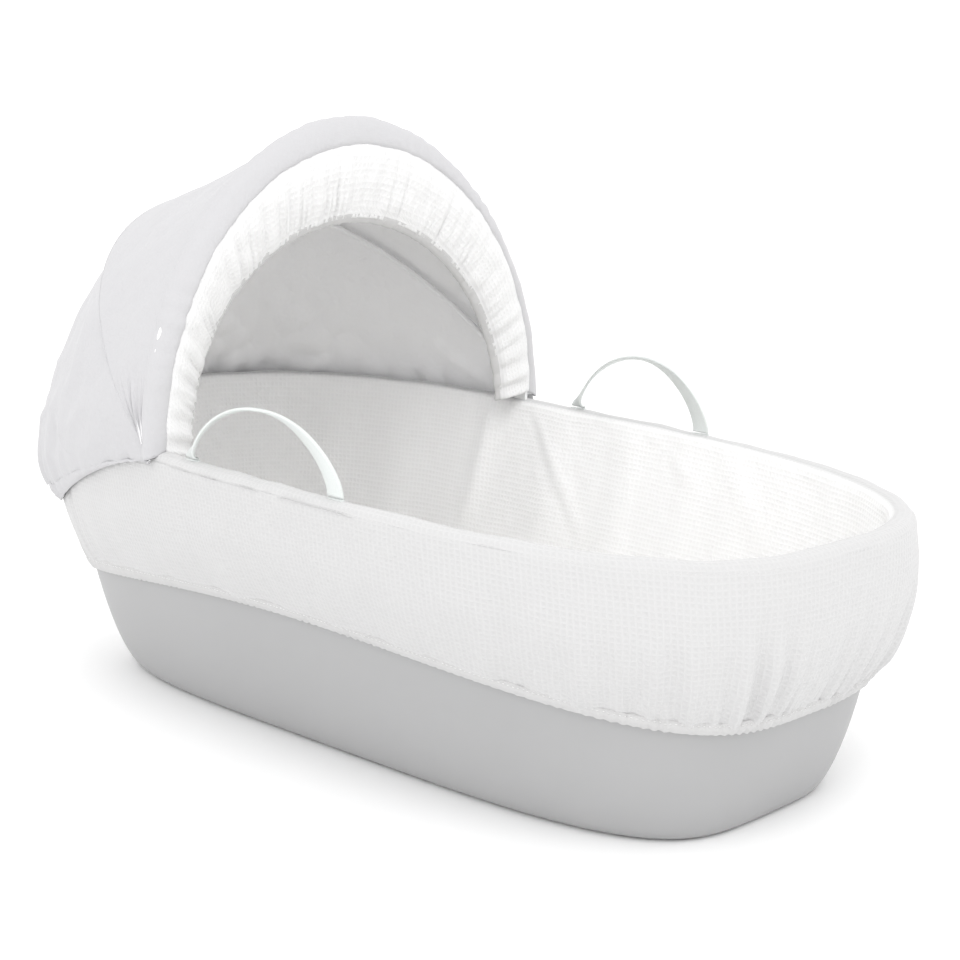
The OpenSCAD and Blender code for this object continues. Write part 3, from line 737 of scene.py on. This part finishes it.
def build_mattress():
    """A stuffed pad: swollen by simulation, flat underneath, with piping round its two edges."""
    low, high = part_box("mattress_cover")
    a, b, square = high.x, high.y, 3.2
    t = np.arange(300) * 2 * np.pi / 300
    swell = 0.0045
    rows = []
    for share, inset in ((0.0, 0.012), (0.06, 0.006), (0.2, 0.0015), (0.5, 0.0), (0.8, 0.0015),
                         (0.94, 0.006), (1.0, 0.012)):
        x, y = oval(a - swell - inset, b - swell - inset, square, t)
        z = low.z + 0.001 + (high.z - low.z - 0.001 - swell) * share
        rows.append(np.stack([x, y, z + 0 * x], -1))
    rows = np.array(rows)
    pad = grid_piece("mattress", rows, cover_cotton, around=True, caps=True)
    pad.data.attributes.remove(pad.data.attributes["cloth"])
    remesh = pad.modifiers.new("Remesh", "REMESH")
    remesh.mode = "VOXEL"
    remesh.voxel_size = 0.006
    mesh = bpy.data.meshes.new_from_object(pad.evaluated_get(bpy.context.evaluated_depsgraph_get()))
    pad.modifiers.clear()
    pad.data = mesh
    inflate(pad, 4.0, 0.006)
    bm = bmesh.new()
    bm.from_mesh(pad.data)
    bmesh.ops.subdivide_edges(bm, edges=bm.edges[:], cuts=1, use_grid_fill=True, smooth=0.5)
    co = np.array([v.co for v in bm.verts])
    top = ease(low.z + 0.02, high.z - 0.004, co[:, 2])
    quilt = quilt_height(co) * top
    lumps = crumple(co, 0.09, 9) * 0.0009 * top
    co[:, 2] += quilt + lumps - 0.0012 * top
    co[:, 2] = np.clip(co[:, 2], low.z, high.z)
    for v, p in zip(bm.verts, co):
        v.co = p
    bm.to_mesh(pad.data)
    bm.free()
    pad.data.polygons.foreach_set("use_smooth", [True] * len(pad.data.polygons))
    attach(pad, "mattress")
    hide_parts("mattress_cover")
    tree = BVHTree.FromPolygons([v.co for v in pad.data.vertices], [p.vertices for p in pad.data.polygons])
    for name, z in (("mattress_piping_lower", low.z + 0.007), ("mattress_piping_upper", high.z - 0.008)):
        path = []
        for angle in np.arange(360) * 2 * np.pi / 360:
            x, y = oval(a * 1.3, b * 1.3, square, np.array([angle]))
            start = Vector((float(x[0]), float(y[0]), z))
            way = Vector((-start.x, -start.y, 0)).normalized()
            hit = tree.ray_cast(start, way)[0]
            path.append(np.array(hit) - 0.0012 * np.array(way))
        ring = tube_points(np.array(path + path[:1]), 0.0021, 10)[:-1]
        # The piping takes the grey binding, whose colour is painted shade.
        piping = grid_piece(name, ring, binding, around=True, loop=True)
        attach(piping, "mattress")


def quilt_height(co):
    """Sewn diamonds: sunk along the seams and full between them."""
    pitch = 0.07
    a = np.abs(((co[:, 0] + co[:, 1]) / pitch) % 1 - 0.5) * 2
    b = np.abs(((co[:, 0] - co[:, 1]) / pitch) % 1 - 0.5) * 2
    near = np.maximum(a, b)
    return -0.0028 * ease(0.80, 1.0, near)


# ---- Straps ----

def strap_frame(side):
    """A strap's own axes at its hinge: along the hinge, across the rim and up."""
    joint = joints[f"strap_{side}_swing"]
    along = unit(np.array(joint["axis"], float))
    across = unit(np.cross([0, 0, 1], along))
    return np.array(joint["pos_m"]), np.array([along, across, np.cross(along, across)])


def build_strap(side):
    """A flat tape with round edges, arched between its two legs and twisted along its way."""
    span = STRAP_SPAN[side]
    t = np.radians(np.concatenate([[0.3], np.linspace(1, 179, 150), [179.7]]))
    arch = np.stack([-span / 2 * np.cos(t), 0 * t, (STRAP_H - span / 4) * np.sin(t) ** ARCH_POWER], -1)
    foot = np.array([[-span / 2, 0, -0.0014], [span / 2, 0, -0.0014]])
    path = np.concatenate([foot[:1], arch, foot[1:]])
    twist = np.radians(np.interp(np.concatenate([[0], np.degrees(t), [180]]), TWIST_AT, TWIST))
    twist = np.convolve(np.pad(twist, 4, mode="edge"), np.ones(9) / 9, mode="valid")
    along = unit(np.gradient(path, axis=0))
    inward = np.stack([-along[:, 2], 0 * twist, along[:, 0]], -1)
    wide = np.cos(twist)[:, None] * np.array([0, 1.0, 0]) + np.sin(twist)[:, None] * inward
    flat = np.cross(along, wide)
    half_w, half_t, round_r = STRAP_W / 2, STRAP_T / 2, STRAP_T / 2.2
    outline = []
    for sx, sy, first in ((1, 1, 0), (-1, 1, 90), (-1, -1, 180), (1, -1, 270)):
        for a in np.radians([first, first + 30, first + 60, first + 90]):
            outline.append((sx * (half_w - round_r) + round_r * math.cos(a),
                            sy * (half_t - round_r) + round_r * math.sin(a)))
    outline = np.array(outline)
    local = path[:, None] + wide[:, None] * outline[None, :, :1] + flat[:, None] * outline[None, :, 1:]
    place, axes = strap_frame(side)
    strap = grid_piece(f"strap_{side}", local @ axes + place, tape, around=True, caps=True)
    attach(strap, f"strap_{side}")
    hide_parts(f"carry_strap_{side}")


# ---- Hood frame ----

def rod_path(half_w, reach, square, lean):
    """Centre line of a bow rod, from inside one socket over to the other."""
    t = np.linspace(0, np.pi, 121)
    y, z = oval(-half_w, reach - LEG_H, square, t)
    leg = np.array([[-half_w, SOCKET_FLOOR], [-half_w, LEG_H - 0.002]])
    flat = np.concatenate([leg, np.stack([y, z + LEG_H], -1), leg[::-1] * [-1, 1]])
    return hinge + np.stack([-flat[:, 1] * math.sin(lean), flat[:, 0], flat[:, 1] * math.cos(lean)], -1)


def build_bow(name, node, rod):
    """A spring-steel rod, and the narrow sleeve of cloth that holds it."""
    path = rod_path(**rod)
    axis = (math.cos(rod["lean"]), 0, math.sin(rod["lean"]))
    bow = grid_piece(name, tube_points(path, ROD_R, 16, axis), steel, around=True, caps=True)
    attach(bow, node)
    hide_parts(node)
    wrap = path[3:-3]
    share = np.linspace(0, 1, len(wrap))
    radius = 0.0028 + 0.0001 * ripple(share, 60, 12)
    # The sleeve takes the hood's lighter inner copy, painted light.
    sleeve = grid_piece(f"{name}_sleeve", tube_points(wrap, radius, 16, axis), hood_inside_lit, around=True,
                        thick=0.0007)
    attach(sleeve, node)


# ---- Hood covers ----

ACROSS = 321
arch_t = np.radians(np.linspace(1, 179, ACROSS))
arch_share = np.linspace(0, 1, ACROSS)


def hood_arch(lean, half_w, reach, square):
    """A hood arch that leans back from the hinge line."""
    y, r = oval(-half_w, reach, square, arch_t)
    return np.stack([hinge[0] - r * math.sin(lean), y, hinge[2] - ARCH_BASE + r * math.cos(lean)], -1)


def mouth_rows(knots, count, skew=0.003):
    """Arches round the hood's mouth. Each knot is the place along the length, base height, half width,
    rise and squareness.

    The arches draw together at their ends. skew is how much lower the near end hangs, and the far end higher.
    """
    low_end = 1 - np.sin(arch_t)
    rows = []
    for x, z, half_w, rise, square in catmull(knots, count):
        y, r = oval(-half_w, rise, square, arch_t)
        x = MOUTH_X + (x - MOUTH_X) * (1 - MOUTH_PINCH * low_end ** 3)
        rows.append(np.stack([x, y, z + r - (MOUTH_DROP + skew * np.cos(arch_t)) * low_end ** 4], -1))
    return np.array(rows)


def front_arch():
    return hood_arch(0.0, COVER_HALF_W, FRONT_RISE, FRONT_SQUARE)


def rear_arch():
    return hood_arch(REAR_LEAN, COVER_HALF_W, REAR_RISE, REAR_SQUARE)


# Tension folds in the hood's covers: two ends, width and depth
HOOD_CREASES = [
    ((-0.328, 0.117, 0.396), (-0.367, 0.160, 0.287), 0.006, 0.0030),
    ((-0.312, 0.090, 0.410), (-0.400, 0.100, 0.270), 0.010, 0.0026),
    ((-0.320, 0.020, 0.440), (-0.425, 0.060, 0.270), 0.012, 0.0030),
    ((-0.310, -0.080, 0.420), (-0.400, -0.150, 0.250), 0.012, 0.0034),
    ((-0.300, -0.130, 0.390), (-0.330, -0.225, 0.240), 0.010, 0.0036),
    ((-0.250, -0.180, 0.360), (-0.250, -0.245, 0.250), 0.009, 0.0034),
    ((-0.238, 0.212, 0.293), (-0.157, 0.233, 0.247), 0.007, -0.0030),
    ((-0.140, -0.080, 0.490), (-0.235, -0.195, 0.330), 0.009, 0.0030),
    ((-0.130, -0.110, 0.475), (-0.180, -0.215, 0.300), 0.007, 0.0028),
    ((-0.125, -0.150, 0.440), (-0.140, -0.228, 0.280), 0.005, 0.0030),
    ((-0.135, 0.080, 0.490), (-0.235, 0.195, 0.330), 0.009, 0.0030),
    ((-0.160, 0.000, 0.500), (-0.300, 0.060, 0.445), 0.012, 0.0022)]


def hood_folds(points):
    shift = crumple(points, 0.11, 41) * 0.0012 + crumple(points, 0.035, 42) * 0.0005
    for start, end, width, depth in HOOD_CREASES:
        shift += crease(points, start, end, width, depth)
    return shift


def build_front_cover():
    """The cover between the two bows, drawn tight, so that it sags between them."""
    share = np.linspace(0.02, 1.0, 64)[:, None, None]
    sag = FRONT_SAG * np.sin(np.pi * share) * np.sin(arch_t)[None, :, None]
    points = front_arch()[None] * (1 - share) + rear_arch()[None] * share - sag * np.array([0, 0, 1.0])
    normals = grid_normals(points, False)
    low = ease(0.32, 0.27, points[..., 2])
    pleats = ripple(share[..., 0] * 0.5 + 0 * arch_t[None], 14, 6) * 0.002 * low
    shift = hood_folds(points) * np.sin(np.pi * np.clip(share[..., 0], 0, 0.98)) ** 0.5
    shift += pleats * np.sin(np.pi * share[..., 0])
    # Its inner face takes the hood's lighter copy, painted light.
    cover = grid_piece("hood_front_cover", points + normals * shift[..., None], hood_cotton, thick=0.0009,
                       inner=hood_inside_lit)
    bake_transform(cover)
    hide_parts("hood_front_panel")


def rear_rows(shares):
    """The rear cover, from the rear bow (share 0) to the bottom of its hem (share 1).

    It also gives how far each column is towards the head end, from 0 to 1.
    """
    degrees = np.clip(np.degrees(arch_t), HEM_END, 180 - HEM_END)
    phi = np.radians(HEM_TURN_START - HEM_TURN * (degrees - HEM_END) / (180 - 2 * HEM_END))
    x = oval(RIM_HALF_L + 0.003, 0.230, RIM_SQUARE, phi)[0]
    end = np.clip((hinge[0] - x) / REAR_FULL_REACH, 0, 1) ** 0.8
    low = np.clip((hinge[0] - x) / HEM_REACH, 0, 1) ** 1.4
    full_x, full_y = oval(RIM_HALF_L + 0.005 + REAR_FULL_L * end, 0.232 + REAR_FULL_W * end,
                          REAR_FULL_SQUARE, phi)
    a = rear_arch()
    pull_way = np.array([-math.sin(BOW_PULL_LEAN), 0, math.cos(BOW_PULL_LEAN)])
    b = a + BOW_PULL * np.sin(arch_t)[:, None] * pull_way
    c = np.stack([full_x, full_y, rim_z(x) - REAR_FULL_DROP * end], -1)
    d = wall(phi, rim_z(x) - HEM_BASE - (HOOD_HEM_DROP - HEM_BASE) * low, HOOD_HEM_OFF)
    s = np.asarray(shares)[:, None, None]
    return a * (1 - s) ** 3 + 3 * b * (1 - s) ** 2 * s + 3 * c * (1 - s) * s ** 2 + d * s ** 3, end


def build_rear_cover():
    """The cover from the rear bow round the head end, gathered above its elastic hem."""
    shares = np.linspace(0.0, 0.95, 96)
    points, end = rear_rows(shares)
    s = shares[:, None]
    normals = grid_normals(points, False)
    fine = ripple(arch_share, 62, 51) * 0.0016 * ease(0.72, 0.93, s)
    broad = ripple(arch_share, 30, 52) * 0.0026 * ease(0.42, 0.8, s) * ease(1.05, 0.85, s)
    crinkle = (0.5 - np.abs(crumple(points, 0.045, 53))) * 0.0032 * ease(0.25, 0.55, s) * ease(0.95, 0.75, s)
    shift = (fine + broad + crinkle) * (0.15 + 0.85 * end) + hood_folds(points) * ease(0.0, 0.06, s)
    # Its inner face takes the hood's lighter copy, painted light.
    cover = grid_piece("hood_rear_cover", points + normals * shift[..., None], hood_cotton, thick=0.0009,
                       inner=hood_inside_lit)
    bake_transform(cover)
    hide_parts("hood_rear_panel")
    hem = build_rear_hem()


def build_rear_hem():
    """The hood's narrow casing, held under the rim by its elastic."""
    shares = np.linspace(HOOD_HEM_START, 1.0, 14)
    points, end = rear_rows(shares)
    normals = grid_normals(points, False)
    s = shares[:, None]
    puff = 0.0012 * np.sin(np.pi * (s - HOOD_HEM_START) / 0.07)
    gather = ripple(arch_share, 62, 51) * 0.0014 + ripple(arch_share, 90, 54) * 0.0006
    shift = puff + gather * (0.2 + 0.8 * end) * (1 - 0.5 * ease(0.97, 1.0, s))
    hem = grid_piece("hood_rear_hem", points + normals * shift[..., None], hood_cotton, thick=0.0014)
    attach(hem, "tub")
    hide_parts("hood_hem_elastic")
    return hem


def build_mouth():
    """The rolled band on the front bow, the gathered waffle valance inside it, and its elastic edge."""
    band_knots = [(-0.1150, 0.2478, 0.2280, 0.2650, 1.92), (-0.1145, 0.2465, 0.2303, 0.2690, 1.92),
                  (-0.1112, 0.2450, 0.2312, 0.2711, 1.91), (-0.1062, 0.2450, 0.2305, 0.2700, 1.91),
                  (-0.1010, 0.2468, 0.2268, 0.2628, 1.93), (-0.0972, 0.2490, 0.2215, 0.2528, 1.95),
                  (-0.0958, 0.2508, 0.2172, 0.2446, 1.97), (-0.0970, 0.2516, 0.2150, 0.2410, 1.98),
                  (-0.0990, 0.2516, 0.2146, 0.2402, 1.98)]
    points = mouth_rows(band_knots, 34)
    normals = grid_normals(points, False)
    shift = crumple(points, 0.03, 61) * 0.0004 + ripple(arch_share, 40, 62) * 0.0003
    band = grid_piece("hood_front_band", points + normals * shift[..., None], hood_cotton, thick=0.0009)
    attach(band, "front_bow")
    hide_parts("front_band")
    valance_knots = [(-0.0995, 0.2516, 0.2150, 0.2409, 1.98), (-0.0972, 0.2514, 0.2143, 0.2396, 1.98),
                     (-0.0962, 0.2512, 0.2112, 0.2336, 1.98), (-0.0972, 0.2502, 0.2052, 0.2222, 1.975),
                     (-0.1010, 0.2488, 0.1974, 0.2076, 1.97), (-0.1060, 0.2472, 0.1892, 0.1930, 1.965),
                     (-0.1105, 0.2462, 0.1836, 0.1830, 1.96)]
    points = mouth_rows(valance_knots, 46, VALANCE_SKEW)
    normals = grid_normals(points, False)
    s = np.linspace(0, 1, len(points))[:, None]
    calm = 1 - 0.65 * ease(0.8, 1.0, s)
    folds = ripple(arch_share, 34, 63) * 0.0013 * ease(0.05, 0.6, s) * calm
    fine = ripple(arch_share, 75, 64) * 0.0009 * ease(0.35, 0.9, s) * calm
    lumps = crumple(points, 0.025, 65) * 0.0004
    # side 0.60 paints the valance partway to the waffle's lighter colour, painted light.
    valance = grid_piece("valance_cloth", points + normals * (folds + fine + lumps)[..., None], waffle,
                         thick=CLOTH_T, side=np.full(len(points), 0.60))
    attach(valance, "front_bow")
    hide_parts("valance")
    edge_knots = [(-0.1088, 0.2466, 0.1852, 0.1856, 1.96), (-0.1108, 0.2461, 0.1830, 0.1822, 1.96),
                  (-0.1135, 0.2456, 0.1812, 0.1798, 1.96), (-0.1158, 0.2454, 0.1812, 0.1796, 1.96),
                  (-0.1172, 0.2456, 0.1828, 0.1814, 1.96), (-0.1160, 0.2462, 0.1846, 0.1838, 1.96)]
    points = mouth_rows(edge_knots, 20, VALANCE_SKEW)
    normals = grid_normals(points, False)
    gather = ripple(arch_share, 34, 63) * 0.0005 + ripple(arch_share, 110, 66) * 0.0003
    s = np.linspace(0, 1, len(points))[:, None]
    # The edge takes the grey binding, painted shade for the dark, shadowed hem round the mouth.
    edge = grid_piece("valance_edge", points + normals * (gather * (1 - 0.6 * s))[..., None], binding,
                      thick=0.0009)
    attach(edge, "front_bow")
    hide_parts("valance_elastic")


# ---- Scene ----

def dress_cad_nodes():
    """CAD pieces whose shape is right stay, with better materials."""
    finishes = {
        "strap_anchors_left": tape, "strap_anchors_right": tape,
        "hood_bracket_left": white_fitting, "hood_bracket_right": white_fitting,
        "hinge_pin_left": steel, "hinge_pin_right": steel,
        "front_bow_end_left": white_fitting, "front_bow_end_right": white_fitting,
        "rear_bow_end_left": white_fitting, "rear_bow_end_right": white_fitting,
        "mattress_core": foam_block}
    for name, material in finishes.items():
        node = frame["nodes"][name]
        for material_slot in node.material_slots:
            material_slot.material = material


add_camera()
add_studio()
build_tub()
build_dressing()
build_floor_panel()
build_mattress()
build_strap("left")
build_strap("right")
build_bow("front_bow_rod", "front_bow", FRONT_ROD)
build_bow("rear_bow_rod", "rear_bow", REAR_ROD)
build_front_cover()
build_rear_cover()
build_mouth()
dress_cad_nodes()
